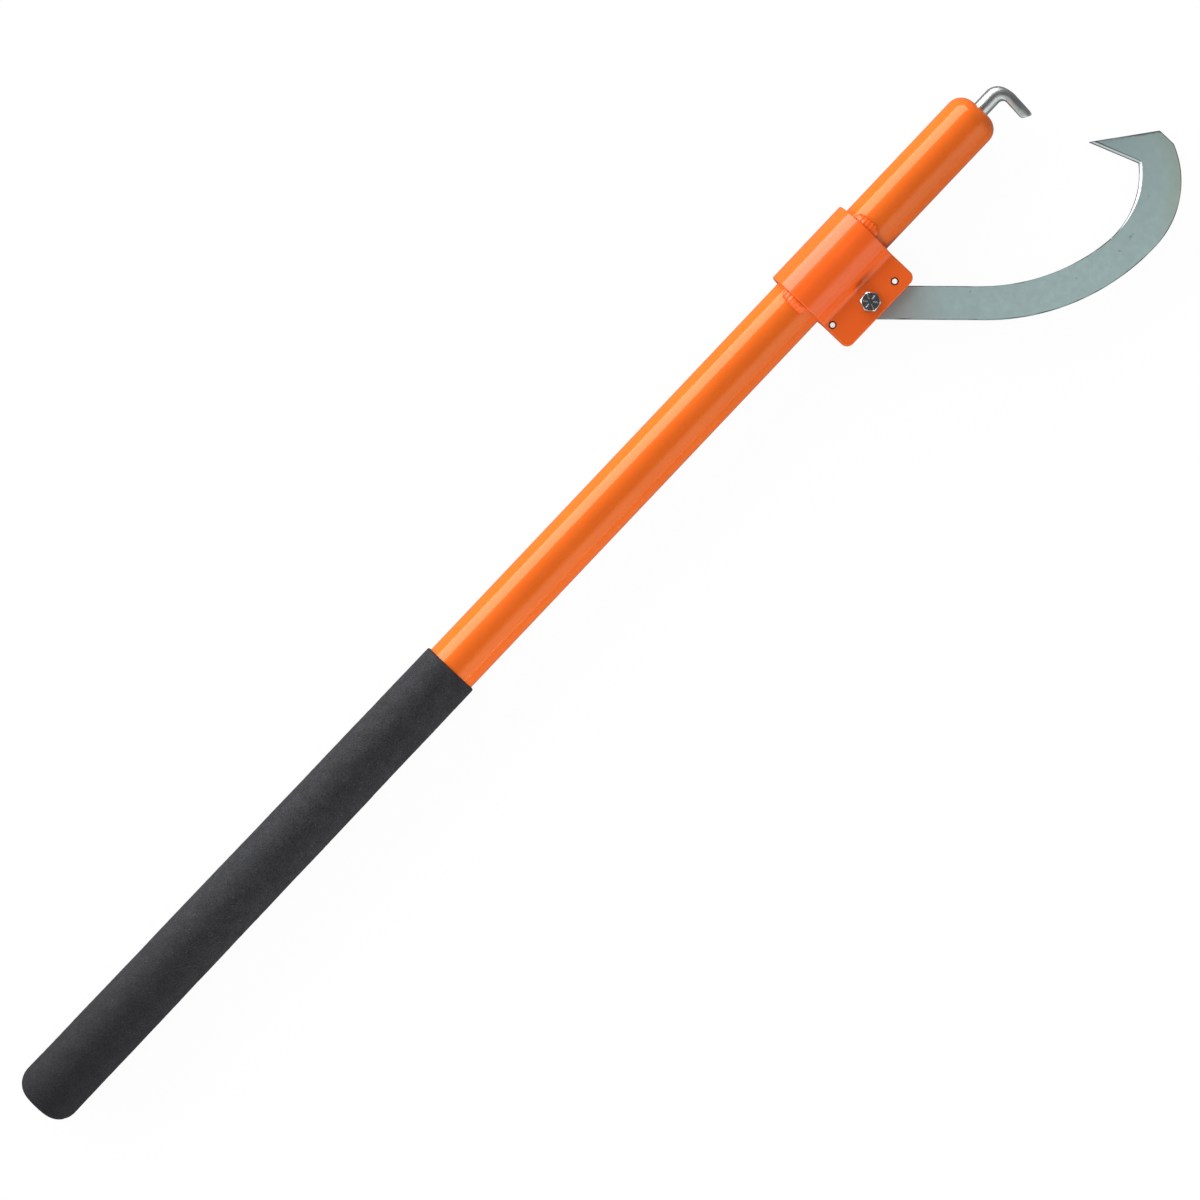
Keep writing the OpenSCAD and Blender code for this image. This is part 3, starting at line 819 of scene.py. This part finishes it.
def sunk_pin(name, node):
    """Stop pin that fills its holes, with a pale neck in a groove of painted shade at each end."""
    low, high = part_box(node)
    centre = (low + high) / 2
    middle_r = (high.x - low.x) / 2
    shoulder = EAR_OUT - PLATE_T + PIN_SHOULDER
    bm = bmesh.new()
    bmesh.ops.create_cone(bm, cap_ends=True, segments=HOLE_STEPS, radius1=middle_r, radius2=middle_r,
                          depth=2 * shoulder, matrix=Matrix.Translation(centre))
    groove_shade = bm.faces.layers.float.new("groove_shade")
    ends = [f for f in bm.faces if abs(f.normal.z) > FACES_Z]
    ends = bmesh.ops.extrude_discrete_faces(bm, faces=ends)["faces"]
    for end in ends:
        bmesh.ops.scale(bm, vec=(PIN_R / middle_r, PIN_R / middle_r, 1), verts=end.verts,
                        space=Matrix.Translation(-centre))
    ends = bmesh.ops.extrude_discrete_faces(bm, faces=ends)["faces"]
    shank = high.z - centre.z - PIN_SINK - PIN_NECK - shoulder
    for end in ends:
        bmesh.ops.translate(bm, verts=end.verts, vec=end.normal * shank)
    groove = bmesh.ops.inset_individual(bm, faces=ends, thickness=PIN_R - PIN_NECK_R)["faces"]
    # The groove is painted dark as shade
    for face in groove:
        face[groove_shade] = 1.0
    necks = bmesh.ops.extrude_discrete_faces(bm, faces=ends)["faces"]
    for neck in necks:
        bmesh.ops.translate(bm, verts=neck.verts, vec=neck.normal * PIN_NECK)
    soften(bm, list({e for neck in necks for e in neck.edges}), PIN_EDGE, FINE_EDGE_STEPS)
    bmesh.ops.recalc_face_normals(bm, faces=bm.faces)
    return add_piece(name, bm, PIN_ZINC, "bright_zinc", "handle", node)


def weld_stitch(bm, x, direction):
    """Rippled bead on the front of the tube against one end of the bracket."""
    root = TUBE_R - WELD_SINK
    crown = [(WELD_LEG * leg, TUBE_R + WELD_RISE * rise) for leg, rise in WELD_CROWN]
    corners = [(-WELD_SINK, root), (WELD_LEG, root), *crown, (-WELD_SINK, TUBE_R + WELD_RISE)]
    points = [bm.verts.new((a, 0, r)) for a, r in corners]
    section = bm.faces.new(points)
    bmesh.ops.rotate(bm, verts=points, cent=(0, 0, 0), matrix=Matrix.Rotation(WELD_FRONT, 3, "X"))
    bmesh.ops.spin(bm, geom=[section], cent=(0, 0, 0), axis=(1, 0, 0),
                   angle=-(WELD_FRONT + WELD_BACK), steps=WELD_STEPS)
    for vert in bm.verts:
        angle = atan2(-vert.co.y, vert.co.z)
        along = (angle + WELD_BACK) / (WELD_FRONT + WELD_BACK)
        across = vert.co.x / WELD_LEG
        ripple = WELD_RIPPLE * sin(2 * pi * WELD_RIPPLES * along + WELD_SLANT * across * across)
        lump = WELD_LUMP * noise.noise((vert.co + Vector((x, 0, 0))) / WELD_LUMP_SIZE)
        ends = max(0.0, 1 - abs(2 * along - 1) ** WELD_BLUNT) ** 0.5
        size = min(1.0, WELD_FULL + ripple + lump) * ends
        radius = hypot(vert.co.y, vert.co.z)
        new_radius = root + (radius - root) * size
        vert.co.x = -WELD_SINK + (vert.co.x + WELD_SINK) * size
        vert.co.y *= new_radius / radius
        vert.co.z *= new_radius / radius
    for vert in bm.verts:
        vert.co.x = x + direction * vert.co.x
    bmesh.ops.recalc_face_normals(bm, faces=bm.faces)
    if bm.calc_volume(signed=True) < 0:
        bmesh.ops.reverse_faces(bm, faces=bm.faces)


def weld_beads(name, node, x, direction):
    """Front and back stitches at one end of the bracket."""
    bm = bmesh.new()
    weld_stitch(bm, x, direction)
    front = bm.verts[:] + bm.edges[:] + bm.faces[:]
    behind = bmesh.ops.duplicate(bm, geom=front)["geom"]
    bmesh.ops.scale(bm, vec=(1, 1, -1), verts=only(bmesh.types.BMVert, behind))
    bmesh.ops.reverse_faces(bm, faces=only(bmesh.types.BMFace, behind))
    piece = add_piece(name, bm, BRACKET_PAINT, "orange_paint", "handle", node)
    rounding = piece.modifiers.new("Rounding", "SUBSURF")
    rounding.levels = 1
    rounding.render_levels = 1
    return piece


def hook_uv(co):
    """Place of a point in the hook's own frame."""
    du, dv = co.x - PIVOT.x, co.y - PIVOT.y
    return (du * cos(REST_ANGLE) - dv * sin(REST_ANGLE), du * sin(REST_ANGLE) + dv * cos(REST_ANGLE))


def from_throat(co):
    """Distance and angle of a point from the throat's centre."""
    u, v = hook_uv(co)
    u -= THROAT_CENTRE[0]
    v -= THROAT_CENTRE[1]
    return hypot(u, v), atan2(v, u)


def off_line(co, start, end):
    """Distance of a point from a line in the hook's own frame, and its place along it."""
    line = Vector(end) - Vector(start)
    at = Vector(hook_uv(co)) - Vector(start)
    return abs(line.cross(at)) / line.length, at.dot(line) / line.length_squared


def off_beak_edge(co):
    """Distance of a point from the line of the beak's inner edge, and its place along it."""
    notch = (THROAT_CENTRE[0] + THROAT_R * cos(NOTCH_ANGLE),
             THROAT_CENTRE[1] + THROAT_R * sin(NOTCH_ANGLE))
    return off_line(co, notch, BEAK_TIP)


def beside(place, reach, slack):
    """Whether a (distance, place along) lies close to a line and between its ends."""
    off, along = place
    return off < reach and -slack < along < 1 + slack


def rise(edge):
    """Height between an edge's ends."""
    return abs(edge.verts[0].co.z - edge.verts[1].co.z)


def on_ground_edge(vert):
    """Whether a vertex lies on the throat's ground part or on the beak's inner edge."""
    radius, angle = from_throat(vert.co)
    on_throat = abs(radius - THROAT_R) < ON_LINE and GROUND_FROM < angle < NOTCH_ANGLE + GROUND_SLACK
    return on_throat or beside(off_beak_edge(vert.co), ON_LINE, GROUND_SLACK)


def is_crest(edge):
    """Whether an edge lies between the beak's ground strip and a flat face of the hook."""
    on_beak = all(beside(off_beak_edge(v.co), STRIP_REACH, BEAK_SLACK) for v in edge.verts)
    return on_beak and any(abs(f.normal.z) > FACES_Z for f in edge.link_faces)


def is_wall_edge(edge):
    """Whether an edge lies between a ground bevel and the hook's upright wall."""
    return len(edge.link_faces) == 2 and any(abs(f.normal.z) < FACES_SIDEWAYS for f in edge.link_faces)


def on_back(edge):
    """Whether an edge lies along the beak's back."""
    places = [off_line(v.co, BEAK_TIP, BEAK_BACK) for v in edge.verts]
    return rise(edge) < ON_LINE and all(beside(place, ON_LINE, BACK_SLACK) for place in places)


def rim_shade_level(co):
    """How dark the painted shade on a rim is: most along the beak's back, less at the heel and by the
    ground strip.
    """
    place = off_line(co, BEAK_TIP, BEAK_BACK)
    if beside(place, RIM_SHADE_BACK_IN, BACK_SLACK):
        return RIM_SHADE_BACK_MIDDLE if BACK_MIDDLE[0] <= place[1] <= BACK_MIDDLE[1] else RIM_SHADE_BACK
    at_heel = co.x > HEEL_X - RIM_SHADE_HEEL_IN
    by_strip = beside(off_beak_edge(co), RIM_SHADE_BEAK_IN, BEAK_SLACK)
    return RIM_SHADE_ELSEWHERE if at_heel or by_strip else 0.0


def fade_ground(bm):
    """Narrows the throat's ground bevel towards the arm."""
    half = HOOK_T / 2
    for vert in bm.verts:
        radius, angle = from_throat(vert.co)
        off = radius - THROAT_R
        if not (GROUND_FROM < angle < GROUND_FULL and -ON_LINE < off < FADE_REACH):
            continue
        share = max(GROUND_LEAST, (angle - GROUND_FROM) / (GROUND_FULL - GROUND_FROM))
        if abs(vert.co.z) > half - NEAR:
            shift = off * (share - 1)
            turn = angle - REST_ANGLE
            vert.co.x += shift * cos(turn)
            vert.co.y += shift * sin(turn)
        elif off < ON_LINE:
            side = 1 if vert.co.z > 0 else -1
            vert.co.z = side * (half - GROUND_EDGE * share)


def zinc_hook():
    """Plate hook with softened edges and a ground bevel inside the bow and the beak."""
    bm = merged_copy("hook")
    bmesh.ops.bisect_plane(bm, geom=bm.verts[:] + bm.edges[:] + bm.faces[:], plane_co=(HEEL_X, 0, 0),
                           plane_no=(1, 0, 0), clear_outer=True)
    bmesh.ops.holes_fill(bm, edges=[e for e in bm.edges if e.is_boundary])
    bmesh.ops.recalc_face_normals(bm, faces=bm.faces)
    bmesh.ops.bisect_edges(bm, edges=[e for e in bm.edges if on_back(e)], cuts=BACK_CUTS)
    level = [e for e in sharp_edges(bm) if rise(e) < RIM_RISE]
    ground = [e for e in level if all(on_ground_edge(v) for v in e.verts)]
    on_rim = bm.faces.layers.float.new("rim")
    on_rim_shade = bm.faces.layers.float.new("rim_shade")
    on_ground = bm.faces.layers.float.new("ground")
    strip = soften(bm, ground, GROUND_EDGE, segments=1)["faces"]
    for face in strip:
        off, along = off_beak_edge(face.calc_center_median())
        face[on_ground] = BEAK_SHINE if off < GROUND_EDGE and along > BEAK_FROM else 1.0
    fade_ground(bm)
    round_strip = {e for f in strip for e in f.edges}
    worn = [e for e in round_strip if is_wall_edge(e) or is_crest(e)]
    rest = [e for e in sharp_edges(bm) if e not in round_strip]
    rim = soften(bm, rest + worn, HOOK_EDGE)["faces"]
    for face in rim:
        face[on_rim] = 1.0
        face[on_ground] = 0.0
        # Painted shade on the rims
        face[on_rim_shade] = rim_shade_level(face.calc_center_median())
    return add_piece("zinc_hook", bm, HOOK_ZINC, "hook_zinc", "hook", "hook")


def bolt_with_marks():
    """Pivot bolt with a softened head and raised radial marks."""
    bm = softened_copy("pivot_bolt", HEAD_EDGE)
    for turn in range(MARKS):
        bar = bmesh.ops.create_cube(bm, size=1.0)["verts"]
        size = Vector((MARK_TO - MARK_FROM, MARK_W, 2 * MARK_H))
        bmesh.ops.scale(bm, vec=size, verts=bar)
        bar_edges = list({e for v in bar for e in v.link_edges})
        bar = soften(bm, bar_edges, MARK_EDGE)["verts"]
        bmesh.ops.translate(bm, vec=((MARK_FROM + MARK_TO) / 2, 0, 0), verts=bar)
        angle = HEAD_TURN + 2 * pi * turn / MARKS
        bmesh.ops.rotate(bm, cent=(0, 0, 0), matrix=Matrix.Rotation(angle, 3, "Z"), verts=bar)
        bmesh.ops.translate(bm, vec=PIVOT + Vector((0, 0, HEAD_TOP)), verts=bar)
    return add_piece("bolt_with_marks", bm, BRIGHT_ZINC, "bright_zinc", "handle", "pivot_bolt")


def toe_leg_radius(angle):
    """Radius of the leg's ridged section at an angle from its outward side."""
    across, up = abs(cos(angle)), abs(sin(angle))
    fall = (TOE_RIDGE - TOE_SHOULDER) / TOE_LEG_HALF
    side = across / TOE_LEG_HALF
    roof = (up + fall * hypot(across, TOE_RIDGE_ROUND)) / TOE_RIDGE
    return (side ** TOE_CORNER + roof ** TOE_CORNER) ** (-1 / TOE_CORNER)


def forge_toe(bm):
    """Turns the round bar's section into the leg's, more and more round the bend."""
    middle = TOE_LEG_HALF - TOE_R
    nib = middle + TOE_NIB_OUT
    for vert in bm.verts:
        along, out = vert.co.x - TOE_BEND_X, vert.co.y + TOE_BEND_R
        if along < SAME_POINT:
            continue
        in_bend = out > -SAME_POINT
        turn = atan2(along, out) if in_bend else pi / 2
        offset = (hypot(along, out) if in_bend else along) - TOE_BEND_R
        share = sin(min(turn, pi / 2)) ** 2
        angle = atan2(vert.co.z, offset)
        radius = toe_leg_radius(angle)
        offset += share * (middle + radius * cos(angle) - offset)
        vert.co.z += share * (radius * sin(angle) - vert.co.z)
        if in_bend:
            vert.co.x = TOE_BEND_X + (TOE_BEND_R + offset) * sin(turn)
            vert.co.y = (TOE_BEND_R + offset) * cos(turn) - TOE_BEND_R
            continue
        left = TOE_REACH + vert.co.y
        down = 1 - left / (TOE_REACH - TOE_BEND_R)
        near_end = max(0.0, 1 - left / TOE_TIP)
        width = TOE_NIB + (1 - TOE_NIB) * max(0.0, 1 - near_end * near_end) ** 0.5
        offset = nib + (offset - nib) * width
        from_outside = (middle + TOE_LEG_HALF - offset) / (2 * TOE_LEG_HALF)
        vert.co.x = TOE_BEND_X + TOE_BEND_R + offset - TOE_LEAN * down
        vert.co.y += TOE_SLANT * from_outside * down ** 3
        vert.co.z *= 1 - TOE_THINNED * down - TOE_TIP_THINNED * max(0.0, 1 - left / TOE_TAPER)


def draw_out(bm, face, step):
    """Extrudes a bar's end face by a step and returns the new end face."""
    made = bmesh.ops.extrude_face_region(bm, geom=[face])["geom"]
    bmesh.ops.translate(bm, verts=only(bmesh.types.BMVert, made), vec=step)
    return only(bmesh.types.BMFace, made)[0]


def bent_toe_pick():
    """Bar that is bent over and forged to a ridged leg with a blunt, slanted end."""
    bm = bmesh.new()
    across = Matrix.Translation((TOE_START, 0, 0)) @ Matrix.Rotation(pi / 2, 4, "Y")
    bmesh.ops.create_circle(bm, cap_ends=True, segments=TOE_STEPS, radius=TOE_R, matrix=across)
    end = bm.faces[:][0]
    chamfered = 1 - TOE_CHAMFER / TOE_R
    for corner in end.verts:
        corner.co.y *= chamfered
        corner.co.z *= chamfered
    end = draw_out(bm, end, (TOE_CHAMFER, 0, 0))
    for corner in end.verts:
        corner.co.y /= chamfered
        corner.co.z /= chamfered
    end = draw_out(bm, end, (TOE_BEND_X - TOE_START - TOE_CHAMFER, 0, 0))
    made = bmesh.ops.spin(bm, geom=[end], cent=(TOE_BEND_X, -TOE_BEND_R, 0), axis=(0, 0, 1),
                          angle=-pi / 2, steps=TOE_BEND_STEPS)
    end = only(bmesh.types.BMFace, made["geom_last"])[0]
    leg_step = (TOE_BEND_R - TOE_REACH) / TOE_LEG_STEPS
    for _ in range(TOE_LEG_STEPS):
        end = draw_out(bm, end, (0, leg_step, 0))
    forge_toe(bm)
    close_up(bm)
    return add_piece("bent_toe_pick", bm, TOE_ZINC, "bright_zinc", "handle", "toe_pick")


def softened_piece(name, node, width, material, slot):
    """CAD node as it is, with its sharp edges rounded."""
    return add_piece(name, softened_copy(node, width), material, slot, "handle", node)


painted_handle()
foam_sleeve()
weld_beads("upper_weld_beads", "upper_weld", BRACKET_END, 1)
weld_beads("lower_weld_beads", "lower_weld", BRACKET_START, -1)
folded_bracket()
zinc_hook()
bolt_with_marks()
bent_toe_pick()
sunk_pin("upper_pin", "upper_stop_pin")
sunk_pin("lower_pin", "lower_stop_pin")
softened_piece("flat_washer", "nut_washer", FASTENER_EDGE, BRIGHT_ZINC, "bright_zinc")
softened_piece("hex_lock_nut", "lock_nut", FASTENER_EDGE, BRIGHT_ZINC, "bright_zinc")
softened_piece("toe_weld_nut", "toe_nut", WELD_NUT_EDGE, BRIGHT_ZINC, "bright_zinc")
softened_piece("nylon_ring", "nut_insert", RING_EDGE, NYLON, "nylon")
softened_piece("butt_plug", "tube_plug", PLUG_EDGE, BLACK_PLASTIC, "black_plastic")


# Stage: pale floor, studio walls, soft lamps on both sides and above, and the camera

def seen_directly(tree, path):
    """1 for what the camera sees, straight or through something clear."""
    return combine(tree, "MAXIMUM", path.outputs["Is Camera Ray"], path.outputs["Is Transmission Ray"])


def floor_material():
    """White where it is seen, less a share that keeps the shadow, and pale grey in gloss."""
    material = bpy.data.materials.new("Pale floor")
    material.use_nodes = True
    tree = material.node_tree
    tree.nodes.clear()
    out = tree.nodes.new("ShaderNodeOutputMaterial")
    paper = tree.nodes.new("ShaderNodeBsdfDiffuse")
    paper.inputs["Color"].default_value = (*FLOOR_PAPER, 1.0)
    path = tree.nodes.new("ShaderNodeLightPath")
    mirrored = path.outputs["Is Glossy Ray"]
    seen_share = map_range(tree, seen_directly(tree, path), 0.0, 1.0, 0.0, FLOOR_SEEN)
    share = combine(tree, "MAXIMUM", seen_share, mirrored)
    glow = tree.nodes.new("ShaderNodeEmission")
    level = map_range(tree, mirrored, 0.0, 1.0, 1.0, FLOOR_MIRRORED)
    tree.links.new(level, glow.inputs["Strength"])
    lit = tree.nodes.new("ShaderNodeMixShader")
    tree.links.new(share, lit.inputs["Fac"])
    tree.links.new(paper.outputs["BSDF"], lit.inputs[1])
    tree.links.new(glow.outputs["Emission"], lit.inputs[2])
    clear = tree.nodes.new("ShaderNodeBsdfTransparent")
    side = tree.nodes.new("ShaderNodeNewGeometry")
    open_below = tree.nodes.new("ShaderNodeMixShader")
    tree.links.new(side.outputs["Backfacing"], open_below.inputs["Fac"])
    tree.links.new(lit.outputs["Shader"], open_below.inputs[1])
    tree.links.new(clear.outputs["BSDF"], open_below.inputs[2])
    tree.links.new(open_below.outputs["Shader"], out.inputs["Surface"])
    return material


def add_floor(z):
    """Pale floor that keeps a soft shadow and is open from below."""
    bm = bmesh.new()
    bmesh.ops.create_grid(bm, x_segments=1, y_segments=1, size=FLOOR_HALF)
    bmesh.ops.translate(bm, vec=(VIEW_CENTRE.x, VIEW_CENTRE.y, z), verts=bm.verts)
    mesh = bpy.data.meshes.new("floor")
    bm.to_mesh(mesh)
    bm.free()
    floor = bpy.data.objects.new("floor", mesh)
    bpy.context.scene.collection.objects.link(floor)
    mesh.materials.append(floor_material())


def studio_world():
    """Pale walls and a dark ceiling, lower beyond the nose; the camera sees plain white."""
    world = bpy.data.worlds.new("Studio")
    bpy.context.scene.world = world
    world.use_nodes = True
    tree = world.node_tree
    background = tree.nodes["Background"]
    background.inputs["Color"].default_value = (1, 1, 1, 1)
    place = tree.nodes.new("ShaderNodeTexCoord")
    split = tree.nodes.new("ShaderNodeSeparateXYZ")
    tree.links.new(place.outputs["Generated"], split.inputs["Vector"])
    to_nose, height = split.outputs["X"], split.outputs["Z"]
    wall = map_range(tree, to_nose, *WALL_CHANGE, WALL_LEVEL, NOSE_WALL_LEVEL)
    wall_top = map_range(tree, to_nose, *TOP_CHANGE, *WALL_TOP)
    ceiling = map_range(tree, to_nose, *TOP_CHANGE, *CEILING)
    room = map_range(tree, height, wall_top, ceiling, wall, CEILING_LEVEL)
    path = tree.nodes.new("ShaderNodeLightPath")
    level = map_range(tree, path.outputs["Is Glossy Ray"], 0.0, 1.0, ROOM_FILL, room)
    shown = map_range(tree, seen_directly(tree, path), 0.0, 1.0, level, 1.0)
    tree.links.new(shown, background.inputs["Strength"])


def soft_panel(name, elevation, spread, side, power, mirrored=True, middle=LONG_PANEL):
    """Soft light along the handle, at an elevation on one side of it."""
    along, length, far = middle
    lamp = bpy.data.lights.new(name, "AREA")
    lamp.shape = "RECTANGLE"
    lamp.size = length
    lamp.size_y = 2 * far * tan(spread)
    lamp.energy = power
    panel = bpy.data.objects.new(name, lamp)
    panel.location = (along, side * far * cos(elevation), far * sin(elevation))
    panel.rotation_euler = Euler((side * (elevation - pi / 2), 0, 0))
    panel.visible_camera = False
    panel.visible_glossy = mirrored
    bpy.context.scene.collection.objects.link(panel)


def add_camera():
    """Camera straight above, framed as the photograph is."""
    lens = bpy.data.cameras.new("camera")
    lens.sensor_width = SENSOR_W
    lens.lens = SENSOR_W * VIEW_HEIGHT / VIEW_WIDTH
    lens.clip_end = VIEW_END
    camera = bpy.data.objects.new("camera", lens)
    camera.location = VIEW_CENTRE + Vector((0, 0, VIEW_HEIGHT))
    camera.rotation_euler = Euler((0, 0, VIEW_TURN))
    bpy.context.scene.collection.objects.link(camera)
    bpy.context.scene.camera = camera


add_floor(cad_box[0].z - FLOOR_GAP)
studio_world()
soft_panel("plain_side_panel", elevation=radians(25.5), spread=radians(21.5), side=PLAIN_SIDE,
           power=158)
soft_panel("plain_side_fill", elevation=radians(5), spread=radians(7), side=PLAIN_SIDE, power=230,
           mirrored=False)
soft_panel("hook_side_panel", elevation=radians(32), spread=radians(13), side=HOOK_SIDE, power=9)
soft_panel("hook_side_fill", elevation=radians(8), spread=radians(7), side=HOOK_SIDE, power=10,
           mirrored=False, middle=GRIP_FILL)
soft_panel("overhead_fill", elevation=radians(90), spread=radians(20), side=PLAIN_SIDE, power=53,
           mirrored=False)
add_camera()
bpy.context.scene.view_settings.view_transform = "Standard"
